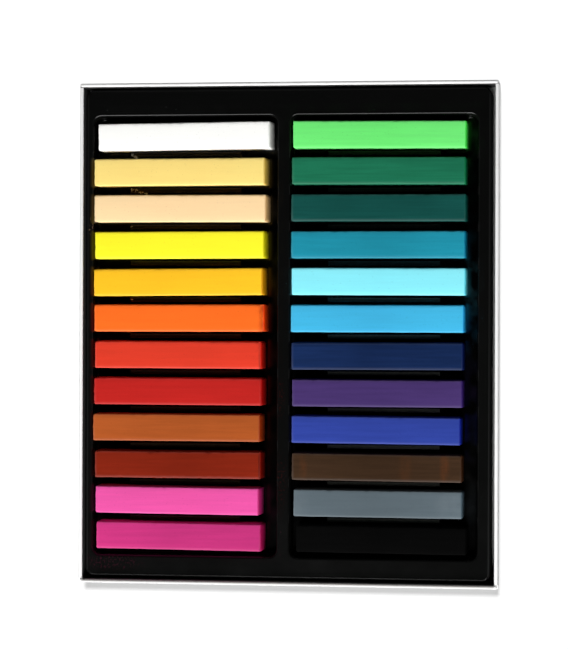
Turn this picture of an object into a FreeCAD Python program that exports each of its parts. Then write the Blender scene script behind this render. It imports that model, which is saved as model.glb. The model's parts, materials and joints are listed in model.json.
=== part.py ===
import FreeCAD, Part
import math
import os

# A shallow folded-board tray holds a black vacuum-formed insert, and twenty-four square pastel sticks lie
# loose in the insert's two wells.
# Millimetres. X runs along the sticks, Y across them (front is -Y, back is +Y), Z up. The origin is the
# centre of the tray's underside. Every size follows from the sticks outwards: sticks, wells, insert, tray.

# ---- pastel sticks ----
stick_length = 65.0       # a full-length stick
stick_side = 10.4         # its square section
stick_bevel = 0.45        # bevel along every edge
sticks_per_well = 12

# ---- room for the sticks in each well, measured on the well's floor ----
stick_gap = 3.35          # between the sides of neighbouring sticks
end_room = 4.4            # free length left beside a full-length stick
outer_room = 1.6          # beyond the first stick and beyond the last

# ---- insert: one formed sheet ----
sheet = 0.5               # thickness of the plastic
well_depth = 7.8          # deck above the wells' floor
wall_draft = 3.0          # lean of the wells' walls, degrees
divider = 4.85            # deck between the two wells
left_margin = 2.6         # deck outside the wells, on each of the four sides
right_margin = 4.9
front_margin = 8.1
back_margin = 10.2
skirt_draft = 1.8         # lean of the outer skirt, degrees
well_corner = 3.0         # corner radius of a well in plan, at the deck
skirt_corner = 3.6        # corner radius of the skirt in plan, at its foot
edge_round = 0.9          # rounding of the deck into the wells and into the skirt
floor_round = 0.5         # rounding of a well's wall into its floor

# ---- ribs that keep neighbouring sticks apart ----
rib_height = 5.5
rib_length = 42.0         # flat top of a rib
rib_play = 0.65           # from a rib's foot to a stick that lies in the middle of its place
rib_draft = 2.5           # lean of a rib's long sides, degrees
rib_end_draft = 19.0      # lean of its two ends, degrees
rib_round = 0.4           # rounding of its two long top edges

# ---- folded-board tray ----
board = 0.45              # thickness of the board
fold_play = 0.05          # spare room between the two layers of a wall, beyond a corner flap's own thickness
rim_over_sticks = 0.5     # rim above the sticks' tops
floor_clearance = 4.15    # open space under the wells' floor
corner_flap = 14.0        # length of the glued flap inside each end of the front and back walls
flap_drop = 1.5           # top of a corner flap below the rim
slit = 0.15               # gap between cut edges that meet at a corner
left_gap = 0.3            # between the insert's skirt and the tray's walls: it sits against the left
right_gap = 1.1
end_gap = 0.4

# Each stick: name, length over or under a full stick, gap at its left end, and how it lies in its place:
# moved across, then turned, each as a share of the free play beside the ribs (+ is towards the back, and
# + is anticlockwise). The two shares of one stick add up to less than 1.
LEFT_STICKS = (
    ("stick_white", 1.1, 1.9, -0.45, 0.40),
    ("stick_sand", 0.7, 0.4, 0.00, 0.15),
    ("stick_peach", 1.2, 0.4, 0.05, 0.00),
    ("stick_yellow", 0.2, 0.7, 0.00, 0.15),
    ("stick_golden_yellow", 0.1, 0.3, -0.30, 0.30),
    ("stick_orange", 0.4, 0.5, 0.00, 0.10),
    ("stick_vermilion", -0.9, 0.8, -0.15, -0.05),
    ("stick_red", -0.3, 0.5, -0.10, -0.05),
    ("stick_ochre", -0.6, 0.2, 0.10, 0.00),
    ("stick_maroon", -1.1, 0.9, -0.20, -0.05),
    ("stick_pink", -2.0, 1.2, 0.20, -0.20),
    ("stick_magenta", -1.5, 1.6, 0.70, -0.25),
)
RIGHT_STICKS = (
    ("stick_green", 0.3, 0.8, -0.15, -0.15),
    ("stick_viridian", 0.5, 0.4, 0.25, -0.10),
    ("stick_pine", 0.9, 0.2, 0.20, -0.05),
    ("stick_teal", 0.7, 0.2, 0.20, 0.05),
    ("stick_cyan", 0.6, 0.4, 0.15, -0.05),
    ("stick_sky_blue", 0.3, 0.2, -0.05, 0.00),
    ("stick_navy", -0.2, 0.4, -0.40, 0.05),
    ("stick_violet", -0.7, 0.7, -0.50, -0.05),
    ("stick_ultramarine", -1.3, 0.6, -0.50, -0.25),
    ("stick_umber", -0.8, 0.7, -0.70, -0.25),
    ("stick_grey", -1.4, 1.4, -0.35, -0.15),
    ("stick_black", -0.9, 2.4, 0.25, -0.20),
)

# ---- heights ----
foot_z = board
floor_z = board + floor_clearance + sheet
deck_z = floor_z + well_depth
tray_height = floor_z + stick_side + rim_over_sticks


def run(height, draft):
    """Distance that a wall leaning by draft degrees moves sideways over a height."""
    return height * math.tan(math.radians(draft))


# ---- plan sizes, from the sticks outwards ----
pitch = stick_side + stick_gap
floor_x = stick_length + end_room
floor_y = (sticks_per_well - 1) * pitch + stick_side + 2 * outer_room
wall_run = run(well_depth, wall_draft)
mouth_x = floor_x + 2 * wall_run
mouth_y = floor_y + 2 * wall_run
deck_x = left_margin + mouth_x + divider + mouth_x + right_margin
deck_y = front_margin + mouth_y + back_margin
skirt_run = run(deck_z - foot_z, skirt_draft)
fold_gap = board + fold_play
wall = board + fold_gap + board
inner_x = deck_x + 2 * skirt_run + left_gap + right_gap
inner_y = deck_y + 2 * skirt_run + 2 * end_gap
tray_x = inner_x + 2 * wall
tray_y = inner_y + 2 * wall

# ---- where the insert and its wells stand ----
foot_left = -inner_x / 2 + left_gap
foot_right = inner_x / 2 - right_gap
foot_front = -inner_y / 2 + end_gap
foot_back = inner_y / 2 - end_gap
left_well_x = foot_left + skirt_run + left_margin + wall_run
right_well_x = left_well_x + mouth_x + divider
well_front = foot_front + skirt_run + front_margin + wall_run
well_back = well_front + floor_y
rib_foot_width = stick_gap - 2 * rib_play
rib_reach = rib_length / 2 + run(rib_height, rib_end_draft)


class Plan:
    """A rectangle with round corners, seen from above."""

    def __init__(self, x0, x1, y0, y1, corner):
        self.x0, self.x1, self.y0, self.y1 = x0, x1, y0, y1
        self.corner = corner

    def grown(self, by):
        """The same outline moved outwards all round (inwards when by is negative)."""
        return Plan(self.x0 - by, self.x1 + by, self.y0 - by, self.y1 + by, self.corner + by)

    def wire(self, z):
        """The outline at height z."""
        r = self.corner
        diagonal = r * (1 - math.sqrt(0.5))
        corners = (
            (self.x1, self.y0, -1, 1),
            (self.x1, self.y1, -1, -1),
            (self.x0, self.y1, 1, -1),
            (self.x0, self.y0, 1, 1),
        )
        edges = []
        ends = []
        for index, (x, y, to_x, to_y) in enumerate(corners):
            beside = FreeCAD.Vector(x + to_x * r, y, z)
            along = FreeCAD.Vector(x, y + to_y * r, z)
            middle = FreeCAD.Vector(x + to_x * diagonal, y + to_y * diagonal, z)
            first, last = (beside, along) if index % 2 == 0 else (along, beside)
            edges.append(Part.Arc(first, middle, last).toShape())
            ends.append((first, last))
        for index in range(len(ends)):
            following = ends[(index + 1) % len(ends)]
            edges.append(Part.makeLine(ends[index][1], following[0]))
        return Part.Wire(Part.__sortEdges__(edges))


def drafted_block(plan, z_low, z_high, draft):
    """A block on a plan whose walls lean in by draft degrees (out when negative) up to z_high."""
    top = plan.grown(-run(z_high - z_low, draft))
    return Part.makeLoft([plan.wire(z_low), top.wire(z_high)], True, True)


def edges_at(shape, z):
    """The edges of a shape that lie level at height z."""
    level = 1e-4
    return [e for e in shape.Edges if abs(e.BoundBox.ZMin - z) < level and abs(e.BoundBox.ZMax - z) < level]


def softened(block, z, radius, inset):
    """Rounds a block's level edges at height z, or bevels them by as much on the sheet's underside."""
    if inset:
        return block.makeChamfer(radius * (2 - math.sqrt(2)), edges_at(block, z))
    return block.makeFillet(radius, edges_at(block, z))


def trapezoid(middle, half, draft, root, high, across):
    """A standing face with a level foot and top, half as wide as given where it meets the wells' floor."""
    wide = half + run(floor_z - root, draft)
    narrow = half - run(high - floor_z, draft)
    corners = []
    for side, z in ((-wide, root), (wide, root), (narrow, high), (-narrow, high)):
        corners.append(middle + across * side + FreeCAD.Vector(0, 0, z))
    return Part.Face(Part.makePolygon(corners + corners[:1]))


def rib(x_middle, y_middle, inset):
    """One rib standing on the floor of a well. A positive inset gives the underside of its sheet.

    It is the part that two prisms share: the rib's side view, run across it, and its section, run along it.
    """
    high = floor_z + rib_height - inset
    root = floor_z - inset - sheet
    half_width = rib_foot_width / 2 - inset / math.cos(math.radians(rib_draft))
    half_length = rib_reach - inset / math.cos(math.radians(rib_end_draft))
    x_axis = FreeCAD.Vector(1, 0, 0)
    y_axis = FreeCAD.Vector(0, 1, 0)
    beside = FreeCAD.Vector(x_middle, y_middle - pitch / 2, 0)
    before = FreeCAD.Vector(x_middle - floor_x / 2, y_middle, 0)
    side_view = trapezoid(beside, half_length, rib_end_draft, root, high, x_axis)
    section = trapezoid(before, half_width, rib_draft, root, high, y_axis)
    block = side_view.extrude(y_axis * pitch).common(section.extrude(x_axis * floor_x))
    if inset:
        return block
    long_edges = [e for e in edges_at(block, high) if e.Length > rib_length / 2]
    return block.makeFillet(rib_round, long_edges)


def formed_block(inset):
    """The solid under the insert's surface. A positive inset gives the one under its underside."""
    foot = Plan(foot_left, foot_right, foot_front, foot_back, skirt_corner)
    foot = foot.grown(-inset / math.cos(math.radians(skirt_draft)))
    top = deck_z - inset
    block = drafted_block(foot, foot_z, top, skirt_draft)
    low = floor_z - inset
    lean = math.radians(wall_draft)
    inset_on_floor = inset * (1 / math.cos(lean) - math.tan(lean))
    for x in (left_well_x, right_well_x):
        floor = Plan(x, x + floor_x, well_front, well_back, well_corner - wall_run)
        floor = floor.grown(inset_on_floor)
        block = block.cut(drafted_block(floor, low, top, -wall_draft))
    block = softened(block, top, edge_round - inset, inset)
    block = softened(block, low, floor_round + inset, inset)
    ribs = []
    for x in (left_well_x, right_well_x):
        for place in range(sticks_per_well - 1):
            between = stick_place_y(place) - pitch / 2
            ribs.append(rib(x + floor_x / 2, between, inset))
    return block.fuse(ribs)


def stick_place_y(place):
    """Middle of a stick's place in its well, counted from the back."""
    return well_back - outer_room - stick_side / 2 - place * pitch


def formed_insert():
    """The black insert: deck, two wells, ribs and skirt in one sheet of even thickness, open underneath."""
    return formed_block(0.0).cut(formed_block(sheet)).removeSplitter()


def pastel_stick(extra, gap, across_share, turn_share, well_x, place):
    """One loose stick, bevelled all round, lying on the floor of its well."""
    length = stick_length + extra
    block = Part.makeBox(length, stick_side, stick_side, FreeCAD.Vector(-length / 2, -stick_side / 2, 0))
    block = block.makeChamfer(stick_bevel, block.Edges)
    turn = math.degrees(math.atan(turn_share * rib_play / (rib_reach + end_room / 2)))
    block.rotate(FreeCAD.Vector(0, 0, 0), FreeCAD.Vector(0, 0, 1), turn)
    x = well_x + gap + length / 2
    y = stick_place_y(place) + across_share * rib_play
    block.translate(FreeCAD.Vector(x, y, floor_z))
    return block


def rolled_wall(length):
    """The rolled-over part of a wall along +Y: fold and inner panel. Its outer face is at x = 0."""
    fold_z = tray_height - wall / 2
    outer_radius = wall / 2
    inner_radius = fold_gap / 2
    middle = -wall / 2

    def at(x, z):
        return FreeCAD.Vector(x, -length / 2, z)

    edges = [
        Part.Arc(at(0, fold_z), at(middle, fold_z + outer_radius), at(-wall, fold_z)).toShape(),
        Part.makeLine(at(-wall, fold_z), at(-wall, board)),
        Part.makeLine(at(-wall, board), at(board - wall, board)),
        Part.makeLine(at(board - wall, board), at(board - wall, fold_z)),
        Part.Arc(at(board - wall, fold_z), at(middle, fold_z + inner_radius), at(-board, fold_z)).toShape(),
        Part.makeLine(at(-board, fold_z), at(0, fold_z)),
    ]
    return Part.Face(Part.Wire(edges)).extrude(FreeCAD.Vector(0, length, 0))


def on_side(shape, turn, distance):
    """A wall part turned about Z onto one side of the tray, its outer face at a distance from the centre."""
    moved = shape.copy()
    moved.translate(FreeCAD.Vector(distance, 0, 0))
    moved.rotate(FreeCAD.Vector(0, 0, 0), FreeCAD.Vector(0, 0, 1), turn)
    return moved


def carton_tray():
    """The tray, folded from one board: base, outer walls, walls rolled over double, flaps in the corners."""
    wall_top = tray_height - wall / 2
    outside = Part.makeBox(tray_x, tray_y, wall_top, FreeCAD.Vector(-tray_x / 2, -tray_y / 2, 0))
    folds = [e for e in outside.Edges if e.BoundBox.ZMin < board]
    outside = outside.makeFillet(board, folds)
    hollow = Part.makeBox(
        tray_x - 2 * board,
        tray_y - 2 * board,
        wall_top,
        FreeCAD.Vector(board - tray_x / 2, board - tray_y / 2, board),
    )
    pieces = []
    end_wall = rolled_wall(tray_x - 2 * board - 2 * slit)
    side_wall = rolled_wall(inner_y - 2 * slit)
    for turn in (0, 180):
        pieces.append(on_side(side_wall, turn, tray_x / 2))
        pieces.append(on_side(end_wall, turn + 90, tray_y / 2))
    for side in (-1, 1):
        for end in (-1, 1):
            root = side * (tray_x / 2 - board)
            tip = root - side * corner_flap
            middle = end * (tray_y / 2 - board - fold_gap / 2)
            corner = FreeCAD.Vector(min(root, tip), middle - board / 2, board)
            height = tray_height - flap_drop - board
            pieces.append(Part.makeBox(corner_flap, board, height, corner))
    return outside.cut(hollow).fuse(pieces).removeSplitter()


def write(shape, name):
    """Writes one piece of the object to its own file."""
    solid = shape.Solids[0] if len(shape.Solids) == 1 else shape
    solid.exportStep(os.path.join("parts", name + ".step"))


os.makedirs("parts", exist_ok=True)
write(carton_tray(), "carton_tray")
write(formed_insert(), "insert")
for well_x, sticks in ((left_well_x, LEFT_STICKS), (right_well_x, RIGHT_STICKS)):
    for place, (name, *lie) in enumerate(sticks):
        write(pastel_stick(*lie, well_x, place), name)
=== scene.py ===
"""A tray of twenty-four soft pastel sticks.

A white folded-board tray holds a black formed insert, and two columns of
square chalk sticks lie in its wells. The tray and the insert show their
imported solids. Each stick is sawn, worn and dusted here, in the place of its
solid. Lengths are in metres unless a name says otherwise.
"""

import json
import logging
import math
import random
from collections.abc import Callable
from dataclasses import dataclass
from enum import Enum

import bmesh
import bpy
from mathutils import Matrix, Vector, noise

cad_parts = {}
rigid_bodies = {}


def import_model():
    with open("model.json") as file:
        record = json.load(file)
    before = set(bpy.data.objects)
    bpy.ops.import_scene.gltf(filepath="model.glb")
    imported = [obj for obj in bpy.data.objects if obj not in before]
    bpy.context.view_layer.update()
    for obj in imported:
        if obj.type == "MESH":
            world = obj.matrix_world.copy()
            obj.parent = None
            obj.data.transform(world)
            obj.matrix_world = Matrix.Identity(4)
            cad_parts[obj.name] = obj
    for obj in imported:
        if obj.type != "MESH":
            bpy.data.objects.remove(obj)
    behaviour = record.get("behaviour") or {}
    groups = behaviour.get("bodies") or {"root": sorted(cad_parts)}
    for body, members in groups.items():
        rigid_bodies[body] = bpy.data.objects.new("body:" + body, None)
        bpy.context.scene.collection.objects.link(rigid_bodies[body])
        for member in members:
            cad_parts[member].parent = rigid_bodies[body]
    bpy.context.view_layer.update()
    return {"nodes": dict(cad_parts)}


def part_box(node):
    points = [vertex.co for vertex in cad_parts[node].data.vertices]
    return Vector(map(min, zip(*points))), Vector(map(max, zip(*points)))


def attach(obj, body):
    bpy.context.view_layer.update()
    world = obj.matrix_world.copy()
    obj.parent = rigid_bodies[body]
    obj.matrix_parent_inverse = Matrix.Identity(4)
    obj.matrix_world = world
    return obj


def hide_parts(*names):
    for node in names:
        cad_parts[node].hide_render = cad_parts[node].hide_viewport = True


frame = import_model()

log = logging.getLogger("pastel_tray")

Colour = tuple[float, float, float]
Swatch = tuple[int, int, int]
Place = tuple[float, float, float]
Box = tuple[Vector, Vector]
Piece = bpy.types.Object
Material = bpy.types.Material
Socket = bpy.types.NodeSocket
Axes = tuple[Socket, Socket, Socket]

MM = 0.001
BLACK = (0.0, 0.0, 0.0)
DIVIDER = -1.6 * MM  # the middle of the bar between the two columns, along X


def linear(swatch: Swatch) -> Colour:
    """Turns a colour swatch, 0 to 255, into the light it scatters, 0 to 1."""
    shares = [channel / 255 for channel in swatch]
    return tuple(s / 12.92 if s <= 0.04045 else ((s + 0.055) / 1.055) ** 2.4 for s in shares)


def toward(colour: Colour, other: Colour, share: float) -> Colour:
    """Blends one colour a share of the way to another."""
    return tuple(a + (b - a) * share for a, b in zip(colour, other))


def mm(*lengths: float) -> tuple[float, ...]:
    """Turns lengths in millimetres into metres."""
    return tuple(length * MM for length in lengths)


class Bench:
    """The modeller's bench: selections and edit mode, with nothing left over."""

    @staticmethod
    def clear() -> None:
        """Lets go of everything, so that an operator meets only its own work."""
        bpy.ops.object.select_all(action="DESELECT")
        bpy.context.view_layer.objects.active = None

    @staticmethod
    def hold(piece: Piece) -> None:
        """Selects one piece alone and makes it the active one.

        Args:
            piece: The object to hold.
        """
        Bench.clear()
        piece.select_set(True)
        bpy.context.view_layer.objects.active = piece

    @staticmethod
    def pick_edges(piece: Piece, wanted: Callable[[Vector, Vector], bool]) -> None:
        """Opens edit mode with chosen edges selected.

        Args:
            piece: The object to edit.
            wanted: A test of one edge's two ends that is true for a chosen edge.
        """
        Bench.hold(piece)
        bpy.ops.object.mode_set(mode="EDIT")
        bpy.ops.mesh.select_mode(type="EDGE")
        bpy.ops.mesh.select_all(action="DESELECT")
        shape = bmesh.from_edit_mesh(piece.data)
        for edge in shape.edges:
            edge.select = wanted(edge.verts[0].co, edge.verts[1].co)
        bmesh.update_edit_mesh(piece.data)

    @staticmethod
    def leave() -> None:
        """Closes edit mode."""
        bpy.ops.object.mode_set(mode="OBJECT")

    @staticmethod
    def copy(piece: Piece, name: str) -> Piece:
        """Copies a piece with a mesh of its own.

        Args:
            piece: The object to copy.
            name: The copy's name.

        Returns:
            The copy, in the scene.
        """
        twin = piece.copy()
        twin.data = piece.data.copy()
        twin.name = name
        twin.data.name = name
        bpy.context.scene.collection.objects.link(twin)
        return twin

    @staticmethod
    def coat(piece: Piece, material: Material) -> None:
        """Gives a piece one material in place of any that it had."""
        piece.data.materials.clear()
        piece.data.materials.append(material)


class Nodes:
    """Lays down the nodes of one tree and joins them."""

    def __init__(self, tree: bpy.types.NodeTree) -> None:
        """Takes the tree that the nodes go into."""
        self.tree = tree

    def lay(self, kind: str, output: str, inputs: dict[str | int, object] | None = None,
            **options: object) -> Socket:
        """Lays down a node.

        Args:
            kind: The node's type name, without its prefix.
            output: The output that is wanted of it.
            inputs: The value or socket that goes into each input, by its name or number.
            **options: Options of the node.

        Returns:
            The output socket.
        """
        node = self.tree.nodes.new("ShaderNode" + kind)
        for option, value in options.items():
            setattr(node, option, value)
        self.feed(node, inputs or {})
        return node.outputs[output]

    def feed(self, node: bpy.types.Node, inputs: dict[str | int, object]) -> None:
        """Links sockets into a node's inputs, or sets plain values on them.

        Args:
            node: The node.
            inputs: The value or socket that goes into each input, by its name or number.
        """
        for name, value in inputs.items():
            socket = node.inputs[name]
            if isinstance(value, Socket):
                self.tree.links.new(value, socket)
            elif socket.type == "RGBA":
                socket.default_value = (*value, 1.0)
            else:
                socket.default_value = value

    def span(self, value: Socket, low: float, high: float,
             at_low: float = 0.0, at_high: float = 1.0) -> Socket:
        """Maps a value's range, from low to high, onto another, and holds it at that one's ends."""
        return self.lay("MapRange", "Result", {
            "Value": value, "From Min": low, "From Max": high, "To Min": at_low, "To Max": at_high})

    def math(self, operation: str, first: object, second: object = 0.0) -> Socket:
        """Joins two values by one operation of arithmetic."""
        return self.lay("Math", "Value", {0: first, 1: second}, operation=operation)

    def times(self, first: object, *others: object) -> Socket:
        """Multiplies values one by another.

        Args:
            first: A value or socket.
            *others: More of them.

        Returns:
            The product.
        """
        for other in others:
            first = self.math("MULTIPLY", first, other)
        return first

    def mix(self, share: object, first: object, second: object,
            kind: str = "RGBA", blend: str = "MIX") -> Socket:
        """Mixes two colours, or with kind FLOAT two values, by the second one's share."""
        return self.lay("Mix", "Result", {"Factor": share, "A": first, "B": second},
                        data_type=kind, blend_type=blend)

    def seen(self) -> Socket:
        """Tells what is seen from what only gives light.

        Returns:
            1 for the camera, a reflection or a clear material, and 0 for other light.
        """
        share = 0.0
        for ray in ("Is Camera Ray", "Is Glossy Ray", "Is Transmission Ray"):
            share = self.math("MAXIMUM", share, self.lay("LightPath", ray))
        return share


class Shading(Nodes):
    """Lays down the nodes of one finish, with patterns that lie in the object's own coordinates."""

    def __init__(self, name: str) -> None:
        """Starts a material.

        Args:
            name: The material's name.
        """
        self.material = bpy.data.materials.new(name)
        self.material.use_nodes = True
        super().__init__(self.material.node_tree)

    def finished(self, inputs: dict[str, object]) -> Material:
        """Gives the surface shader its values and patterns, and hands over the material."""
        self.feed(self.tree.nodes["Principled BSDF"], inputs)
        return self.material

    def coordinates(self, stretch: Place = (1.0, 1.0, 1.0), shift: Place = (0.0, 0.0, 0.0)) -> Socket:
        """Gives the object's own coordinates, scaled and then moved where wanted."""
        source = self.lay("TexCoord", "Object")
        return self.lay("Mapping", "Vector", {"Vector": source, "Scale": stretch, "Location": shift})

    def place(self) -> Axes:
        """Gives the object's coordinates one by one, as X, Y and Z sockets."""
        return tuple(self.lay("SeparateXYZ", "X", {"Vector": self.coordinates()}).node.outputs)

    def noise(self, size: float, detail: float = 3.0, rough: float = 0.5,
              stretch: Place = (1.0, 1.0, 1.0)) -> Socket:
        """Gives a soft random pattern around 0.5; a stretch below 1 draws it out along that axis."""
        return self.lay("TexNoise", "Fac", {
            "Vector": self.coordinates(stretch),
            "Scale": 1.0 / size, "Detail": detail, "Roughness": rough})

    def spots(self, pitch: float, size: float) -> Socket:
        """Gives 1 in scattered round specks of a size that is a share of their pitch, and 0 between."""
        cells = self.lay("TexVoronoi", "Distance", {"Vector": self.coordinates(), "Scale": 1.0 / pitch})
        return self.span(cells, size, size * 0.6)

    def near(self, centre: Place, reach: Place) -> Socket:
        """Picks out what lies about a place.

        Args:
            centre: The place.
            reach: How far it goes along X, Y and Z.

        Returns:
            1 about the place, falling off softly to 0 at its reach.
        """
        shift = tuple(-c / r for c, r in zip(centre, reach))
        around = self.coordinates(tuple(1.0 / r for r in reach), shift)
        return self.span(self.lay("VectorMath", "Value", {0: around}, operation="LENGTH"), 1.0, 0.35)

    def relief(self, height: Socket, depth: float, below: Socket | None = None) -> Socket:
        """Turns a height pattern into a tilt of the surface, over a coarser one where there is one."""
        under = {} if below is None else {"Normal": below}
        return self.lay("Bump", "Normal", {"Height": height, "Distance": depth, **under})


@dataclass(frozen=True)
class StainAndShade:
    """A smudge of another chalk on a stick; over the orange stick's right end, a painted shade instead.

    Attributes:
        colour: Linear colour of the smudge.
        along: Its place along the stick, from 0 at the left end to 1.
        reach: Its half length.
        strength: How far it covers.
    """

    colour: Colour
    along: float
    reach: float
    strength: float


@dataclass(frozen=True)
class EndRub:
    """The slope that use wears onto the top of a stick's right end.

    Attributes:
        front: Its length on the front edge of the stick.
        back: Its length on the back edge.
        drop: Its depth at the very end.
    """

    front: float = 0.45 * MM
    back: float = 0.45 * MM
    drop: float = 0.60 * MM


@dataclass(frozen=True)
class Chalk:
    """One chalk of the set.

    Attributes:
        shade: The colour's name, as in its node and body.
        swatch: Its colour, 0 to 255.
        rubbed: How far its rubbed patches differ from the rest.
        streaked: How dark its lengthwise streaks are.
        paled: How much brighter its left and its right end are.
        chipped: Depth of the chips along its edges.
        stains_and_shade: Smudges of other chalks, and on the orange stick a painted shade over its right
            end.
        rub: The slope worn onto its right end.
    """

    shade: str
    swatch: Swatch
    rubbed: float = 0.10
    streaked: float = 0.10
    paled: tuple[float, float] = (0.05, 0.05)
    chipped: float = 0.20 * MM
    stains_and_shade: tuple[StainAndShade, ...] = ()
    rub: EndRub = EndRub()


ORANGE_END_SHADE = linear((190, 40, 15))
RUST = linear((150, 74, 20))
PALE_GREY = linear((150, 158, 164))
LEFT_CHALKS = (
    Chalk("white", (255, 255, 252), 0.01, 0.01, (0, 0)),
    Chalk("sand", (252, 225, 136), 0.015, 0.03, (0.02, 0.04)),
    Chalk("peach", (253, 221, 173), 0.01, 0.03, (0.04, 0.02)),
    Chalk("yellow", (254, 246, 50), 0.01, 0.03, (0, 0.02)),
    Chalk("golden_yellow", (254, 199, 41), 0.015, 0.04, (0, 0.03)),
    # Painted shade: the dark red over the orange stick's right end stands in for the shade on its worn
    # slope.
    Chalk("orange", (253, 116, 38), 0.02, 0.06, (0, 0),
          stains_and_shade=(StainAndShade(ORANGE_END_SHADE, 1.0, 3.6 * MM, 1.6),), rub=EndRub(*mm(3.2, 1.9, 1.9))),
    Chalk("vermilion", (220, 63, 43), 0.025, 0.07, (0.01, 0.08), rub=EndRub(*mm(0.9, 1.5, 1.2))),
    Chalk("red", (191, 38, 34), 0.02, 0.08, (0.02, 0)),
    Chalk("ochre", (173, 87, 39), 0.05, 0.12, (0.10, 0.04)),
    Chalk("maroon", (128, 35, 17), 0.05, 0.13, (0.11, 0.14), 0.5 * MM, rub=EndRub(*mm(0.9, 1.3, 1.2))),
    Chalk("pink", (226, 86, 163), 0.03, 0.08, (0.05, 0.04)),
    Chalk("magenta", (192, 53, 122), 0.05, 0.09, (0.16, 0)),
)
RIGHT_CHALKS = (
    Chalk("green", (118, 242, 126), 0.03, 0.07, (0.03, 0.05)),
    Chalk("viridian", (32, 120, 87), 0.06, 0.18, (0.08, 0.02)),
    Chalk("pine", (20, 79, 73), 0.08, 0.18, (0.12, 0.14)),
    Chalk("teal", (33, 145, 168), 0.04, 0.10, (0.08, 0.13)),
    Chalk("cyan", (143, 237, 248), 0.015, 0.04, (0, 0.03)),
    Chalk("sky_blue", (69, 183, 225), 0.03, 0.06, (0.05, 0.06)),
    Chalk("navy", (21, 41, 82), 0.1, 0.22, (0.36, 0.10)),
    Chalk("violet", (72, 52, 108), 0.05, 0.13, (0.06, 0.10)),
    Chalk("ultramarine", (50, 69, 158), 0.03, 0.13, (0.03, 0.03)),
    Chalk("umber", (60, 42, 28), 0.08, 0.22, (0.18, 0.28), stains_and_shade=(
        StainAndShade(RUST, 0.07, 1.8 * MM, 0.18), StainAndShade(RUST, 0.66, 3 * MM, 0.10),
        StainAndShade(RUST, 0.89, 2.2 * MM, 0.20))),
    Chalk("grey", (90, 102, 109), 0.05, 0.08, (0.11, 0.18), stains_and_shade=(
        StainAndShade(PALE_GREY, 0.03, 5 * MM, 0.10), StainAndShade(PALE_GREY, 0.93, 7 * MM, 0.14))),
    Chalk("black", (4, 4, 4), 0.15, 0.15, (0.20, 0)),
)


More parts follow.
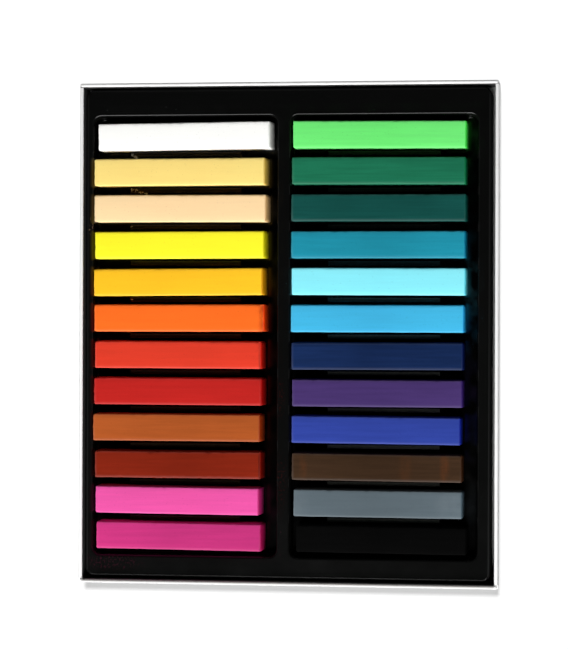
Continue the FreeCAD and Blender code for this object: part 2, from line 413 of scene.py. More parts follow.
@dataclass(frozen=True)
class ChalkFinish:
    """Pressed pigment: matt, powdery, drawn out in faint lengthwise streaks, with painted light on its
    right end and its front edges.

    Attributes:
        chalk: Its colour, its patches, its streaks, its smudges and the painted shade on the orange
            stick's end.
        end_shading: How strongly its right end is painted: a deeper bounce colour, and painted shade
            towards the foot.
        fading: Share of its length over which an end grows brighter.
        mark_width: How far each smudge, and the painted shade on the orange stick's end, goes across it
            and down.
        end_shade_reach: Depth from the right end at which the painted bounce colour and shade of the end
            start.
        dustless: Brightness up to which its worn edges pale its own colour instead of turning whitish
            with dust and painted highlight.
    """

    chalk: Chalk
    end_shading: float = 0.0
    fading: float = 0.42
    mark_width: float = 9 * MM
    end_shade_reach: float = 1.4 * MM
    dustless: float = 0.02

    def material(self, name: str, box: Box) -> Material:
        """Mixes the finish for one stick.

        Args:
            name: The material's name.
            box: The stick's lowest and highest corners.

        Returns:
            The material.
        """
        chalk, pigment = self.chalk, linear(self.chalk.swatch)
        low, high = box
        middle = (low.y + high.y) / 2
        shade = Shading(name)
        x, y, z = shade.place()
        pale = tuple(min(1.0, share * 1.5 + 0.0006) for share in pigment)
        bare = toward(pigment, BLACK, chalk.rubbed)
        deep = toward(pigment, BLACK, 0.40)
        # Painted light for the right end: a near-black painted shade for its foot, and a deeper, more
        # saturated colour that stands in for light bounced onto its face.
        painted_end_shade = toward(pigment, BLACK, 0.96)
        dust_and_painted_light = toward(pigment, (1.0, 0.99, 0.98), 0.12) if max(pigment) > self.dustless else pale
        painted_end_bounce = tuple(share * (share / max(pigment)) ** 0.7 for share in pigment)
        streaks = shade.noise(1.3 * MM, rough=0.6, stretch=(0.05, 1.0, 1.0))
        patches = shade.noise(15.0 * MM, detail=2.0, stretch=(0.6, 1.0, 1.0))
        grain = shade.noise(0.32 * MM, detail=2.0, rough=0.7)
        pits = shade.spots(pitch=1.6 * MM, size=0.16)
        colour = shade.mix(shade.span(patches, 0.36, 0.64, at_high=3 * chalk.rubbed), bare, pale)
        reach = self.fading * (high.x - low.x)
        ends = ((low.x + reach, low.x), (high.x - reach, high.x))
        paled = [shade.span(x, *end, at_high=2 * more) for end, more in zip(ends, chalk.paled)]
        colour = shade.mix(shade.math("ADD", *paled), colour, pale)
        colour = shade.mix(shade.span(streaks, 0.38, 0.62, at_high=2 * chalk.streaked), colour, deep)
        colour = shade.mix(shade.span(grain, 0.35, 0.75, at_high=0.12), colour, pale)
        colour = shade.mix(shade.times(pits, 0.25), colour, deep)
        # Smudges of other chalks, and the painted shade on the orange stick's end.
        for mark in chalk.stains_and_shade:
            centre = (low.x + (high.x - low.x) * mark.along, middle, high.z)
            patch = shade.near(centre, (mark.reach, self.mark_width, self.mark_width))
            blotches = shade.noise(5.0 * MM, detail=4.0, rough=0.6, stretch=(1.0, 0.5, 1.0))
            broken = shade.span(blotches, 0.34, 0.70, at_high=mark.strength)
            colour = shade.mix(shade.times(patch, broken), colour, mark.colour)
        worn = shade.lay("Attribute", "Fac", attribute_name="wear")
        # Worn edges turn paler with dust, and the front edges more so: a painted highlight where the
        # front light catches the bevel.
        edge_dust_and_front_highlight = shade.span(y, middle, low.y + 0.8 * MM, at_low=0.4)
        colour = shade.mix(shade.times(worn, edge_dust_and_front_highlight, 0.40), colour, dust_and_painted_light)
        # Painted light on the right end: the deeper bounce colour over its face, then painted shade that
        # darkens it towards the foot.
        painted_end_share = shade.span(x, high.x - self.end_shade_reach, high.x - 0.8 * MM, at_high=self.end_shading)
        downward = shade.span(z, high.z - 0.7 * MM, low.z + 1.5 * MM)
        colour = shade.mix(painted_end_share, colour, painted_end_bounce)
        colour = shade.mix(shade.times(painted_end_share, downward), colour, painted_end_shade)
        coarse = shade.relief(streaks, 0.05 * MM)
        return shade.finished({
            "Base Color": colour,
            "Roughness": shade.span(grain, 0.3, 0.7, at_low=0.82, at_high=0.96),
            "Specular IOR Level": 0.03,
            "Diffuse Roughness": 0.6,
            "Normal": shade.relief(grain, 0.06 * MM, coarse)})


@dataclass(frozen=True)
class DustAndGlowPatch:
    """A smudge on the sheet: chalk dust, and beside the peach stick's left end a painted reflection.

    Attributes:
        colour: Linear colour of the smudge.
        centre: Middle of the smudge.
        reach: How far it goes along X, Y and Z.
        strength: How far it covers.
        grain: Size of its blotches.
    """

    colour: Colour
    centre: Place
    reach: Place
    strength: float
    grain: float = 0.8 * MM


@dataclass(frozen=True)
class EndGlowBand:
    """Painted reflection of the ends of a column of sticks, laid on the sheet beside them.

    Attributes:
        thin: Place along X where it runs out.
        thick: Place along X where it is thickest, at the sticks' ends.
        strength: How far it covers there.
        bend: How steeply it thickens, where 1 is evenly.
    """

    thin: float
    thick: float
    strength: float
    bend: float


@dataclass(frozen=True)
class DustAndGlowRows:
    """The chalk dust of the insert and the painted reflections of the sticks' ends: their colour by row,
    and the smudges.

    Attributes:
        columns: For each column, the places along Y and the colours of its sticks, front to back.
        patches: Smudges that handling has left on the deck and the divider, and a painted reflection
            beside the peach stick's left end.
        end_glows: Painted reflections of the sticks' ends, beside them on the sheet.
        rib_colours: The lighter colour laid on the tops of the ribs of each column.
    """

    columns: list[list[tuple[float, Colour]]]
    patches: tuple[DustAndGlowPatch, ...] = (
        DustAndGlowPatch(linear((170, 40, 100)), mm(-67, -86.5, 12.9), mm(15, 4, 3), 0.10),
        DustAndGlowPatch(linear((120, 20, 18)), mm(-3.2, -24, 11.5), mm(3, 10, 4), 0.22),
        DustAndGlowPatch(linear((120, 20, 18)), mm(-2.5, -56, 11.5), mm(3.5, 14, 4), 0.20),
        # Painted reflection: this peach patch beside the peach stick's left end stands in for the
        # stick's reflection in the sheet.
        DustAndGlowPatch(linear((240, 190, 150)), mm(-75.3, 40.5, 12.0), mm(1.2, 4, 2.5), 0.5, 1.2 * MM))
    end_glows: tuple[EndGlowBand, ...] = (
        EndGlowBand(*mm(-76.2, -73.9), 0.13, 3.4), EndGlowBand(*mm(-5.6, -7.8), 0.03, 3.0),
        EndGlowBand(*mm(0.2, 1.4), 0.03, 2.0), EndGlowBand(*mm(69.4, 66.7), 0.16, 3.0))
    rib_colours: tuple[Colour, Colour] = ((0.019, 0.014, 0.008), (0.034, 0.036, 0.032))

    def colour(self, shade: Shading, place: Axes) -> Socket:
        """Gives the dust and the painted reflections the colour of the nearest stick.

        Args:
            shade: The finish that is being made.
            place: Its X, Y and Z sockets.

        Returns:
            A colour socket.
        """
        x, y, _ = place
        colours = []
        for column in self.columns:
            first, last = column[0][0], column[-1][0]
            colours.append(shade.lay("ValToRGB", "Color", {"Fac": shade.span(y, first, last)}))
            stops = colours[-1].node.color_ramp.elements
            for number, (along, colour) in enumerate(column):
                share = (along - first) / (last - first)
                outermost = {0: stops[0], len(column) - 1: stops[-1]}
                stop = outermost.get(number) or stops.new(share)
                stop.position = share
                stop.color = (*colour, 1.0)
        return shade.mix(shade.math("GREATER_THAN", x, DIVIDER), *colours)

    def painted_end_glow(self, shade: Shading, place: Axes) -> Socket:
        """Gives how strongly the painted reflection of the sticks' ends shows beside them.

        Args:
            shade: The finish that is being made.
            place: Its X, Y and Z sockets.

        Returns:
            A value socket.
        """
        x, y, _ = place
        left = self.columns[0]
        first, last = left[0][0], left[-1][0]
        half = (last - first) / (len(left) - 1) / 2
        row = shade.math("FRACT", shade.span(y, first - half, last + half, at_high=len(left)))
        off_middle = shade.math("ABSOLUTE", shade.math("SUBTRACT", row, 0.5))
        total = 0.0
        for band in self.end_glows:
            inward = math.copysign(0.4 * MM, band.thick - band.thin)
            rise = shade.math("POWER", shade.span(x, band.thin, band.thick), band.bend)
            fall = shade.span(x, band.thick + 2 * inward, band.thick + inward, at_high=band.strength)
            total = shade.math("ADD", total, shade.times(rise, fall))
        # The painted reflections leave out the white stick, last in the left column, and are weaker at
        # the front rows.
        dust_and_painted_light = shade.math("MAXIMUM", shade.math("LESS_THAN", y, last - half),
                           shade.math("GREATER_THAN", x, 0.0))
        front = shade.span(y, first + 2 * half, first + 4 * half, at_low=0.4)
        return shade.times(total, dust_and_painted_light, front, shade.span(off_middle, 0.43, 0.34))


@dataclass(frozen=True)
class SheetFinish:
    """Thin black plastic sheet, glossy and lightly dusted with chalk, with painted shade in its wells
    and painted reflections of the sticks' ends.

    Attributes:
        black: Linear colour of the sheet.
        well_foot_shade: Painted shade: linear colour at the foot of the wells, where little light falls.
        gloss: Its roughness where it is clean.
        dull: Its roughness along the outer fold, which rubs on the board.
        fold: Width of that fold.
        shine: How strongly it mirrors, where 0.5 is plain plastic.
        rib_top: Height just above the tops of the ribs.
        dusted: How far from the middle dust lies, along X and Y.
    """

    black: Colour = (0.0028, 0.0029, 0.0028)
    well_foot_shade: Colour = (0.0003, 0.0003, 0.0003)
    gloss: float = 0.12
    dull: float = 0.60
    fold: float = 1.6 * MM
    shine: float = 0.20
    rib_top: float = 10.9 * MM
    dusted: tuple[float, float] = mm(73.5, 86)

    def material(self, rows: DustAndGlowRows, box: Box) -> Material:
        """Makes the sheet's finish.

        Args:
            rows: The colour that the dust and the painted reflections have beside each stick.
            box: The sheet's lowest and highest corners.

        Returns:
            The material.
        """
        low, high = box
        shade = Shading("formed_sheet")
        place = shade.place()
        x, y, z = place
        smear = shade.noise(22 * MM, detail=4.0, rough=0.6)
        fine = shade.noise(1.1 * MM, rough=0.6)
        # Painted shade: the sheet darkens towards the foot of the wells.
        colour = shade.mix(shade.span(z, *mm(10.0, 6.5)), self.black, self.well_foot_shade)
        chalk = rows.colour(shade, place)
        dust = self.dust(shade, place, smear)
        colour = shade.mix(dust, colour, chalk)
        # Painted reflection of the sticks' ends: the chalk colour, multiplied by itself, is laid beside
        # them.
        painted_bounce_colour = shade.mix(1.0, chalk, chalk, blend="MULTIPLY")
        colour = shade.mix(rows.painted_end_glow(shade, place), colour, painted_bounce_colour)
        # The tops of the ribs take a lighter colour, one for each column.
        on_rib = shade.times(shade.span(z, *mm(10.2, 10.5)), shade.span(z, self.rib_top, 10.7 * MM))
        film = shade.mix(shade.math("GREATER_THAN", x, DIVIDER), *rows.rib_colours)
        colour = shade.mix(shade.times(on_rib, shade.span(fine, 0.2, 0.8, at_low=0.55)), colour, film)
        for patch in rows.patches:
            blotches = shade.noise(patch.grain, detail=5.0, rough=0.72)
            broken = shade.span(blotches, 0.53, 0.74, at_high=patch.strength)
            covered = shade.times(shade.near(patch.centre, patch.reach), broken)
            colour = shade.mix(covered, colour, patch.colour)
        worn = shade.math("ADD", shade.span(smear, 0.3, 0.7, self.gloss, self.gloss + 0.09), dust)
        for axis, start, end in ((x, low.x, high.x), (y, low.y, high.y)):
            for edge, inward in ((start, self.fold), (end, -self.fold)):
                rubbed = shade.span(axis, edge + inward, edge + 0.6 * inward, at_high=self.dull)
                worn = shade.math("MAXIMUM", worn, rubbed)
        wave = shade.relief(shade.noise(30 * MM, detail=2.0, rough=0.4), 0.10 * MM)
        return shade.finished({
            "Base Color": colour,
            "Roughness": worn,
            "Specular IOR Level": self.shine,
            "Normal": shade.relief(fine, 0.004 * MM, wave)})

    def dust(self, shade: Shading, place: Axes, smear: Socket) -> Socket:
        """Gives how thickly loose dust lies on the sheet.

        Args:
            shade: The finish that is being made.
            place: Its X, Y and Z sockets.
            smear: The broad pattern that gathers the specks.

        Returns:
            A value socket.
        """
        x, y, z = place
        cloud = shade.span(shade.noise(7 * MM, detail=2.0, rough=0.4), 0.44, 0.80, at_high=0.03)
        # It drifts to the right of the right column, towards the front.
        drift = shade.times(shade.span(x, *mm(64, 66), at_high=1.5), shade.span(x, *mm(71.5, 70.5)),
                            shade.span(y, *mm(40, 24), at_low=0.25))
        settled = shade.times(shade.span(z, self.rib_top, 5.0 * MM), shade.math("ADD", drift, 0.3))
        specks = shade.times(shade.spots(pitch=2.1 * MM, size=0.07), shade.span(smear, 0.5, 0.7), 0.175)
        dust = shade.math("ADD", shade.times(cloud, shade.math("ADD", settled, 0.04)), specks)
        for axis, reach in zip((x, y), self.dusted):
            dust = shade.times(dust, shade.math("LESS_THAN", shade.math("ABSOLUTE", axis), reach))
        return dust


@dataclass(frozen=True)
class BoardFinish:
    """White clay-coated board, faintly scuffed along its folds, with painted shade on its front rim and
    its inner faces.

    Attributes:
        white: Linear colour of the coating along the top fold.
        side: Linear colour of the coating on the walls, darker than along the top fold.
        fibre: Linear colour where the coating is cracked or rubbed.
        front_rim_shade: Painted shade: linear colour of the front rim, standing in for the shade that
            falls on it.
        inner_face_shade: Painted shade: linear colour of the inner faces of the walls, standing in for
            the shade between them and the sheet.
    """

    white: Colour = (0.84, 0.84, 0.835)
    side: Colour = (0.66, 0.66, 0.655)
    fibre: Colour = (0.70, 0.68, 0.65)
    front_rim_shade: Colour = (0.26, 0.25, 0.24)
    inner_face_shade: Colour = (0.03, 0.03, 0.03)

    def material(self, box: Box, wall: float) -> Material:
        """Makes the board's finish.

        Args:
            box: The tray's lowest and highest corners.
            wall: Thickness of its walls.

        Returns:
            The material.
        """
        low, high = box
        front, top = low.y, high.z
        middle, half = (low + high) / 2, (high - low) / 2
        shade = Shading("coated_board")
        x, y, z = shade.place()
        mottle = shade.noise(35 * MM, detail=4.0, rough=0.55)
        fibres = shade.noise(0.7 * MM, detail=4.0, rough=0.7, stretch=(1.0, 1.0, 0.35))
        scuff = shade.noise(3.2 * MM, detail=5.0, rough=0.7)
        sideways = shade.math("ABSOLUTE", shade.math("SUBTRACT", x, middle.x))
        depthways = shade.math("ABSOLUTE", shade.math("SUBTRACT", y, middle.y))
        colour = shade.mix(shade.span(z, top - 1.6 * MM, top - 0.8 * MM), self.side, self.white)
        colour = shade.mix(shade.span(mottle, 0.35, 0.7, at_high=0.05), colour, self.fibre)
        colour = shade.mix(shade.span(fibres, 0.45, 0.8, at_high=0.07), colour, self.fibre)
        folds = shade.math("MAXIMUM", shade.span(z, top - 0.8 * MM, top), shade.span(z, 0.9 * MM, 0.0))
        scuffed = shade.times(folds, shade.span(scuff, 0.56, 0.74, at_high=0.55))
        colour = shade.mix(scuffed, colour, self.fibre)
        # Painted shade: the front rim is greyed, standing in for the shade that falls on it.
        corner = half.x - 0.6 * MM
        front_rim_shade_mask = shade.times(
            shade.span(y, front + 0.1 * MM, front + 1.0 * MM, at_low=0.25),
            shade.span(y, front + 2.4 * MM, front + 2.0 * MM),
            shade.span(z, top - 0.9 * MM, top - 0.2 * MM),
            shade.span(sideways, corner, corner - 1.2 * MM))
        colour = shade.mix(front_rim_shade_mask, colour, self.front_rim_shade)
        # Painted shade: the inner faces of the walls are darkened almost to black, standing in for the
        # shade between them and the sheet.
        inner = wall - 0.03 * MM
        inner_face_shade_mask = shade.times(
            shade.span(z, top - 0.02 * MM, top - 0.3 * MM, at_high=0.95),
            shade.math("GREATER_THAN", z, 2 * MM),
            shade.math("LESS_THAN", sideways, half.x - inner),
            shade.math("LESS_THAN", depthways, half.y - inner))
        return shade.finished({
            "Base Color": shade.mix(inner_face_shade_mask, colour, self.inner_face_shade),
            "Roughness": shade.span(mottle, 0.3, 0.7, at_low=0.42, at_high=0.56),
            "Specular IOR Level": 0.35,
            "Normal": shade.relief(fibres, 0.012 * MM, shade.relief(mottle, 0.15 * MM))})


@dataclass(frozen=True)
class FloorFinish:
    """A pale studio floor that keeps the object's shadow.

    Attributes:
        pale: Linear colour of the floor.
        lift: Brightness added where the camera or a reflection sees it.
    """

    pale: Colour = (0.25, 0.25, 0.25)
    lift: float = 0.52

    def material(self) -> Material:
        """Makes the floor's finish."""
        shade = Shading("studio_floor")
        return shade.finished({
            "Base Color": self.pale,
            "Roughness": 0.9,
            "Specular IOR Level": 0.0,
            "Emission Color": (1.0, 1.0, 1.0),
            "Emission Strength": shade.times(shade.seen(), self.lift)})


@dataclass(frozen=True)
class StickPattern:
    """The bar that every stick is copied from, lying along X about the origin.

    Attributes:
        length: Length of the bar.
        side: Width and height of the bar.
        edge: Width of its worn edges.
        cell: Size of the mesh cells that the wear is cut into.
        slack: How much an edge's length may differ from the flat that it spans.
    """

    length: float = 65.0 * MM
    side: float = 10.4 * MM
    edge: float = 0.5 * MM
    cell: float = 0.62 * MM
    slack: float = 0.02 * MM

    def model(self) -> Piece:
        """Saws the bar, rounds its edges and cuts its faces into cells along each axis.

        Returns:
            The pattern bar.
        """
        Bench.clear()
        bpy.ops.mesh.primitive_cube_add(size=1.0)
        bar = bpy.context.active_object
        bar.name = "stick_pattern"
        bpy.ops.transform.resize(value=(self.length, self.side, self.side))
        bpy.ops.object.transform_apply(location=False, rotation=False, scale=True)
        Bench.pick_edges(bar, lambda a, b: True)
        bpy.ops.mesh.bevel(offset=self.edge, segments=3, profile=0.5, affect="EDGES")
        Bench.leave()
        for axis, extent in enumerate((self.length, self.side, self.side)):
            flat = extent - 2 * self.edge
            Bench.pick_edges(bar, lambda a, b: abs(abs(a[axis] - b[axis]) - flat) < self.slack)
            bpy.ops.mesh.subdivide(number_cuts=max(1, round(flat / self.cell) - 1))
            Bench.leave()
        return bar


@dataclass(frozen=True)
class Seat:
    """Where a stick's solid lies.

    Attributes:
        middle: The solid's middle.
        length: Its length.
        turn: Its turn about Z, in radians.
    """

    middle: Vector
    length: float
    turn: float


@dataclass
class PastelStick:
    """One square stick of soft pastel.

    Attributes:
        chalk: Its colour and wear.
        lean: How far its right end, sawn a little out of square, leans in at the top.
        draft: How far its back face leans in at the top.
        leaning: Depth from such an end or face over which the lean dies out.
        crown: How much higher the middle of its top is than the edges.
        arris: Width of the wear along an edge.
        sawn: Depth of the skin that is rough from the saw.
        end_shading: How strongly its right end is painted with bounce colour and with shade towards the
            foot.
        crease: Angle in degrees above which two faces meet in a crease.
        pattern: Size of the bar that it is copied from.
    """

    chalk: Chalk
    lean: float
    draft: float = 0.25 * MM
    leaning: float = 3.0 * MM
    crown: float = 0.20 * MM
    arris: float = 1.1 * MM
    sawn: float = 0.3 * MM
    end_shading: float = 0.90
    crease: float = 38.0
    pattern: StickPattern = StickPattern()

    @property
    def node(self) -> str:
        """The name of its solid, and of its body."""
        return "stick_" + self.chalk.shade

    def seat(self) -> Seat:
        """Finds where the solid lies.

        Returns:
            Its seat.
        """
        corners = [v.co for v in frame["nodes"][self.node].data.vertices]
        low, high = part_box(self.node)
        middle = (low + high) / 2
        left = [c for c in corners if c.x < middle.x]
        right = [c for c in corners if c.x > middle.x]
        axis = (sum(right, Vector()) / len(right) - sum(left, Vector()) / len(left)).normalized()
        reach = [(c - middle).dot(axis) for c in corners]
        return Seat(middle, max(reach) - min(reach), math.atan2(axis.y, axis.x))

    def model(self, bar: Piece) -> Piece:
        """Cuts a stick to its length, lays it in its place and wears it.

        Args:
            bar: The pattern bar.

        Returns:
            The stick, with its place in its mesh.
        """
        seat = self.seat()
        stick = Bench.copy(bar, self.node + "_chalk")
        self.lay(stick, seat)
        self.wear(stick, seat)
        return stick

    def lay(self, stick: Piece, seat: Seat) -> None:
        """Stretches the copied bar to the solid's length and moves it to its place.

        Args:
            stick: The copied bar.
            seat: Where the solid lies.
        """
        Bench.hold(stick)
        bpy.ops.transform.resize(value=(seat.length / self.pattern.length, 1.0, 1.0))
        bpy.ops.object.transform_apply(location=False, rotation=False, scale=True)
        stick.rotation_euler = (0.0, 0.0, seat.turn)
        bpy.ops.transform.translate(value=seat.middle)
        bpy.ops.object.transform_apply(location=True, rotation=True, scale=False)

    def wear(self, stick: Piece, seat: Seat) -> None:
        """Dents the faces, chips the edges and roughens the sawn ends, always inwards.

        Args:
            stick: The stick in its place.
            seat: Where its solid lies.
        """
        home = Matrix.Rotation(-seat.turn, 4, "Z") @ Matrix.Translation(-seat.middle)
        along = Vector((math.cos(seat.turn), math.sin(seat.turn), 0.0))
        across = Vector((-math.sin(seat.turn), math.cos(seat.turn), 0.0))
        half = Vector((seat.length / 2, self.pattern.side / 2, self.pattern.side / 2))
        shape = bmesh.new()
        shape.from_mesh(stick.data)
        shape.normal_update()
        marks, depths = [], []
        for vertex in shape.verts:
            spot = home @ vertex.co
            gaps = sorted(half[axis] - abs(spot[axis]) for axis in range(3))
            edge = max(0.0, 1.0 - gaps[1] / self.arris)
            end = 1.0 if half.x - abs(spot.x) < self.sawn else 0.0
            marks.append(edge)
            depths.append(self.dents(vertex.co, edge, end))
            upward = (spot.z + half.z) / (2 * half.z)
            vertex.co.z -= self.rubbed(half, spot) + self.crown * upward * (spot.y / half.y) ** 2
            vertex.co -= along * self.lean * upward * max(0.0, 1.0 - (half.x - spot.x) / self.leaning)
            vertex.co -= across * self.draft * upward * max(0.0, 1.0 - (half.y - spot.y) / self.leaning)
        for vertex, depth in zip(shape.verts, depths):
            vertex.co -= vertex.normal * depth
        shape.to_mesh(stick.data)
        shape.free()
        worn = stick.data.attributes.new("wear", "FLOAT", "POINT")
        worn.data.foreach_set("value", marks)
        Bench.hold(stick)
        bpy.ops.object.shade_smooth_by_angle(angle=math.radians(self.crease))

    def rubbed(self, half: Vector, spot: Vector) -> float:
        """Gives how far the slope on the right end lowers one point.

        Args:
            half: Half the stick's length, width and height.
            spot: The point, from the stick's middle and along its axes.

        Returns:
            The drop.
        """
        rub = self.chalk.rub
        share = (spot.y + half.y) / (2 * half.y)
        length = rub.front + (rub.back - rub.front) * share
        slope = rub.drop * (1.0 - (half.x - spot.x) / length)
        return max(0.0, slope - (half.z - spot.z))

    def dents(self, spot: Vector, edge: float, end: float) -> float:
        """Gives the depth of the wear at one point.

        Args:
            spot: The point, in the tray's frame.
            edge: How near an edge it is, 0 to 1.
            end: 1 on a sawn end, or else 0.

        Returns:
            How far the chalk has worn away there.
        """
        elsewhere = Vector((7.3, 1.9, 4.4))
        hollows = 0.5 + 0.5 * noise.noise(spot / (9.0 * MM))
        chips = max(0.0, noise.fractal(spot / (1.9 * MM), 1.0, 2.0, 2) - 0.12) * 2.2
        rubbing = 0.5 + 0.5 * noise.noise(spot / (5.0 * MM) + elsewhere)
        saw_marks = max(0.0, noise.fractal(spot / (0.9 * MM), 1.0, 2.0, 2) + 0.25)
        return (hollows * 0.08 * MM + edge * min(1.0, chips) * self.chalk.chipped
                + edge * rubbing * 0.12 * MM + end * saw_marks * 0.16 * MM)

    def dress(self, stick: Piece) -> None:
        """Gives the stick its finish and its place on its body.

        Args:
            stick: The worn stick.
        """
        finish = ChalkFinish(self.chalk, self.end_shading)
        Bench.coat(stick, finish.material("chalk_" + self.chalk.shade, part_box(self.node)))
        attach(stick, self.node)
        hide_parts(self.node)


@dataclass
class StickSet:
    """The twenty-four sticks in their two columns.

    Attributes:
        columns: The chalks of the left and of the right column, back to front.
        leans: How far the right ends of each column lean in at the top.
    """

    columns: tuple[tuple[Chalk, ...], ...] = (LEFT_CHALKS, RIGHT_CHALKS)
    leans: tuple[float, ...] = mm(0.85, 0.60)

    def build(self) -> list[Piece]:
        """Models and dresses every stick.

        Returns:
            The sticks.
        """
        bar = StickPattern().model()
        pieces = []
        for chalks, lean in zip(self.columns, self.leans):
            for chalk in chalks:
                stick = PastelStick(chalk, lean)
                pieces.append(stick.model(bar))
                stick.dress(pieces[-1])
        bpy.data.objects.remove(bar)
        return pieces

    def rows(self) -> list[list[tuple[float, Colour]]]:
        """Lists the place along Y and the colour of each stick, for each column front to back."""
        return [[(sum(corner.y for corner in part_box("stick_" + chalk.shade)) / 2, linear(chalk.swatch))
                 for chalk in reversed(chalks)] for chalks in self.columns]


@dataclass
class FormedInsert:
    """The black formed sheet with its two wells and ribs.

    Attributes:
        finish: Its glossy plastic.
    """

    finish: SheetFinish = SheetFinish()

    def dress(self, sticks: StickSet) -> Piece:
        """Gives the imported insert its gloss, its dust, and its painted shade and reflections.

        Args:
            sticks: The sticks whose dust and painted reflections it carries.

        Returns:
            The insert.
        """
        piece = frame["nodes"]["insert"]
        rows = DustAndGlowRows(sticks.rows())
        Bench.coat(piece, self.finish.material(rows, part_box("insert")))
        return piece


@dataclass
class CartonTray:
    """The folded white board tray.

    Attributes:
        wall: Thickness of its doubled walls.
        finish: Its coated board.
    """

    wall: float = 1.4 * MM
    finish: BoardFinish = BoardFinish()

    def dress(self) -> Piece:
        """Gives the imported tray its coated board.

        Returns:
            The tray.
        """
        piece = frame["nodes"]["carton_tray"]
        Bench.coat(piece, self.finish.material(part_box("carton_tray"), self.wall))
        return piece


@dataclass(frozen=True)
class Scraping:
    """A little heap of scraped chalk on the insert.

    Attributes:
        name: Its piece name.
        swatch: Its colour, 0 to 255.
        spots: Places along X and Y that it lies about.
        count: Number of grains at each place.
        spread: How far they lie apart.
        grain: Size of a grain.
        level: Height of the rib that it lies on.
    """

    name: str
    swatch: Swatch
    spots: tuple[tuple[float, float], ...]
    count: int = 16
    spread: float = 0.7 * MM
    grain: float = 0.30 * MM
    level: float = 10.6 * MM


SCRAPINGS = (
    Scraping("white_scrapings", (215, 213, 205), (mm(-59.6, 67.6), mm(-58.8, 66.8), mm(-58.0, 66.2))),
    Scraping("sand_scrapings", (205, 190, 160), (
        mm(-59.6, 54.0), mm(-58.2, 54.2), mm(-56.2, 53.2), mm(-54.4, 52.8))),
    Scraping("peach_scrapings", (200, 182, 160), (mm(-60.0, 40.4), mm(-59.6, 12.8)), 7, 0.45 * MM),
)


@dataclass
class ChalkScrapings:
    """The grains that the sticks' edges leave on the ribs.

    Attributes:
        seed: Start of the chance that shapes and scatters them.
    """

    seed: int = 24

    def build(self) -> list[Piece]:
        """Models every heap and lays it on the insert.

        Returns:
            The heaps.
        """
        chance = random.Random(self.seed)
        grain = self.grain_pattern()
        pieces = []
        for heap in SCRAPINGS:
            piece = self.heap(heap, grain, chance)
            finish = ChalkFinish(Chalk(heap.name, heap.swatch, rubbed=0.2, streaked=0.05))
            box = (Vector(piece.bound_box[0]), Vector(piece.bound_box[6]))
            Bench.coat(piece, finish.material(heap.name, box))
            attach(piece, "insert")
            pieces.append(piece)
        bpy.data.objects.remove(grain)
        return pieces

    def grain_pattern(self) -> Piece:
        """Models one broken grain, a unit across.

        Returns:
            The grain.
        """
        Bench.clear()
        bpy.ops.mesh.primitive_ico_sphere_add(subdivisions=1, radius=0.5)
        grain = bpy.context.active_object
        grain.name = "grain_pattern"
        bpy.ops.object.mode_set(mode="EDIT")
        bpy.ops.mesh.select_all(action="SELECT")
        bpy.ops.transform.vertex_random(offset=0.16, seed=self.seed)
        Bench.leave()
        return grain

    def heap(self, heap: Scraping, grain: Piece, chance: random.Random) -> Piece:
        """Scatters copies of the grain about the heap's places and joins them.

        Args:
            heap: The heap to lay.
            grain: The pattern grain.
            chance: The seeded source of chance.

        Returns:
            The joined piece.
        """
        grains = []
        for number in range(heap.count * len(heap.spots)):
            x, y = heap.spots[number % len(heap.spots)]
            size = heap.grain * chance.uniform(0.35, 1.0)
            copy = Bench.copy(grain, f"{heap.name}_{number}")
            copy.scale = (size * chance.uniform(0.8, 1.8), size, size * 0.8)
            copy.rotation_euler = [chance.uniform(0, most) for most in (0.6, 0.6, math.tau)]
            copy.location = (x + chance.gauss(0, heap.spread / 2), y + chance.gauss(0, heap.spread / 3),
                             heap.level + size * 0.25)
            grains.append(copy)
        Bench.hold(grains[0])
        for copy in grains:
            copy.select_set(True)
        bpy.ops.object.join()
        piece = bpy.context.active_object
        piece.name = heap.name
        piece.data.name = heap.name
        bpy.ops.object.transform_apply(location=True, rotation=True, scale=True)
        return piece


class Lit(Enum):
    """What a lamp shines on."""

    ALL = "everything"
    TRAY = "the tray and what is in it"
    FLOOR = "the floor"


@dataclass(frozen=True)
class Lamp:
    """A soft box beside the tray.

    Attributes:
        name: Its name.
        bearing: Compass turn from +X, in degrees, so that 90 is the back.
        height: Its angle above the floor, in degrees.
        distance: Its distance from the tray.
        width: Its width.
        depth: Its depth.
        level: How bright its face is, where 1 is white.
        lights: What it shines on.
    """

    name: str
    bearing: float
    height: float
    distance: float
    width: float
    depth: float
    level: float
    lights: Lit = Lit.ALL

    def build(self, groups: dict[Lit, bpy.types.Collection]) -> None:
        """Hangs the lamp and turns it to the tray.

        Args:
            groups: What each kind of lamp shines on, apart from everything.
        """
        turn, lift = math.radians(self.bearing), math.radians(self.height)
        out = math.cos(lift)
        away = Vector((math.cos(turn) * out, math.sin(turn) * out, math.sin(lift)))
        light = bpy.data.lights.new(self.name, "AREA")
        light.shape = "RECTANGLE"
        light.size = self.width
        light.size_y = self.depth
        light.energy = self.level * math.pi * self.width * self.depth
        lamp = bpy.data.objects.new(self.name, light)
        lamp.location = away * self.distance
        lamp.rotation_mode = "QUATERNION"
        lamp.rotation_quaternion = away.to_track_quat("Z", "Y")
        if self.lights in groups:
            lamp.light_linking.receiver_collection = groups[self.lights]
        bpy.context.scene.collection.objects.link(lamp)


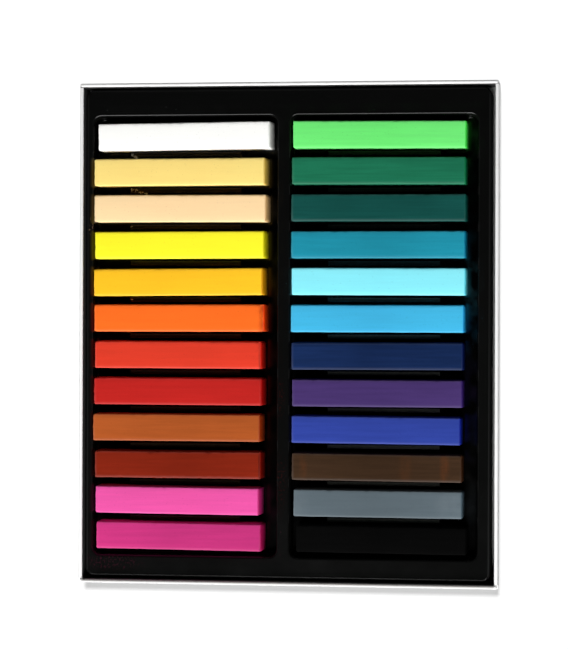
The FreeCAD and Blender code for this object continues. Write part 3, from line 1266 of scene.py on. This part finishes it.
@dataclass
class Studio:
    """The pale floor, the soft lamps and the camera over the tray.

    Attributes:
        aim: The point that the camera looks at.
        tilt: The camera's lean from upright towards +X, in degrees.
        roll: Its turn about its own axis, in degrees.
        distance: Its distance from the aim.
        lens: Its focal length in millimetres.
        film: Width of its film, in millimetres.
        glow: Level of the light that comes from all round, at the horizon.
        glow_band: Heights where it starts to fade and where it ends, 0 at the horizon and 1 overhead.
        backdrop_band: The same for the white backdrop.
        floor_size: Side of the floor.
        lamps: The soft boxes.
    """

    aim: Place = mm(-0.975, 3.446, 15.5)
    tilt: float = 7.0
    roll: float = 0.2
    distance: float = 850 * MM
    lens: float = 126.2
    film: float = 36.0
    glow: float = 0.35
    glow_band: tuple[float, float] = (0.10, 0.62)
    backdrop_band: tuple[float, float] = (0.16, 0.34)
    floor_size: float = 12.0
    lamps: tuple[Lamp, ...] = (
        Lamp("front_box", -92, 46, 0.90, 0.70, 0.62, 10.3, Lit.TRAY),
        Lamp("floor_box", 84, 76.3, 2.40, 0.285, 0.285, 500.0, Lit.FLOOR),
        Lamp("left_box", 178, 34, 0.95, 0.60, 0.30, 0.35),
        Lamp("right_box", 2, 34, 0.95, 0.60, 0.30, 0.2),
    )

    def build(self) -> None:
        """Sets up everything that is not part of the object."""
        floor = self.floor()
        self.world()
        groups = self.groups(floor)
        for lamp in self.lamps:
            lamp.build(groups)
        self.camera()
        bpy.context.scene.view_settings.view_transform = "Standard"
        log.info("studio: %d lamps", len(self.lamps))

    def groups(self, floor: Piece) -> dict[Lit, bpy.types.Collection]:
        """Sorts what the lamps shine on.

        Args:
            floor: The studio floor.

        Returns:
            The floor alone, and everything else.
        """
        groups = {kind: bpy.data.collections.new(kind.name.lower() + "_lit")
                  for kind in (Lit.TRAY, Lit.FLOOR)}
        for piece in bpy.context.scene.objects:
            if piece.type == "MESH":
                groups[Lit.FLOOR if piece == floor else Lit.TRAY].objects.link(piece)
        return groups

    def floor(self) -> Piece:
        """Lays the wide pale floor.

        Returns:
            The floor.
        """
        Bench.clear()
        bpy.ops.mesh.primitive_plane_add(size=self.floor_size)
        sheet = bpy.context.active_object
        sheet.name = "studio_floor"
        sheet.data.materials.append(FloorFinish().material())
        return sheet

    def world(self) -> None:
        """Surrounds the tray with a faint band of light, and shows a white backdrop there."""
        world = bpy.data.worlds.new("studio")
        bpy.context.scene.world = world
        world.use_nodes = True
        nodes = Nodes(world.node_tree)
        height = nodes.lay("SeparateXYZ", "Z", {"Vector": nodes.lay("TexCoord", "Generated")})
        light = nodes.span(height, *self.glow_band, at_low=self.glow, at_high=0.0)
        white = nodes.span(height, *self.backdrop_band, at_low=1.0, at_high=0.0)
        strength = nodes.mix(nodes.seen(), light, white, kind="FLOAT")
        nodes.feed(world.node_tree.nodes["Background"], {"Color": (1.0, 1.0, 1.0), "Strength": strength})

    def camera(self) -> None:
        """Sets the camera over the tray, leaning a little to the right."""
        lean, roll = math.radians(self.tilt), math.radians(self.roll)
        back = Vector((math.sin(lean), 0.0, math.cos(lean)))
        across = Vector((math.cos(lean), 0.0, -math.sin(lean)))
        upward = Vector((0.0, 1.0, 0.0))
        right = across * math.cos(roll) + upward * math.sin(roll)
        top = upward * math.cos(roll) - across * math.sin(roll)
        lens = bpy.data.cameras.new("camera")
        lens.lens = self.lens
        lens.sensor_width = self.film
        lens.sensor_fit = "AUTO"
        lens.clip_start = 0.05
        lens.clip_end = 20.0
        camera = bpy.data.objects.new("camera", lens)
        stand = Matrix((right, top, back)).transposed().to_4x4()
        stand.translation = Vector(self.aim) + back * self.distance
        camera.matrix_world = stand
        bpy.context.scene.collection.objects.link(camera)
        bpy.context.scene.camera = camera


def main() -> None:
    """Dresses the tray, the insert and the sticks, sets up the studio and reports each piece."""
    logging.basicConfig(level=logging.INFO, format="%(name)s: %(message)s")
    sticks = StickSet()
    tray = CartonTray().dress()
    insert = FormedInsert().dress(sticks)
    for piece in (tray, insert, *sticks.build(), *ChalkScrapings().build()):
        log.info("%s: %d faces", piece.name, len(piece.data.polygons))
    Studio().build()


if __name__ == "__main__":
    main()
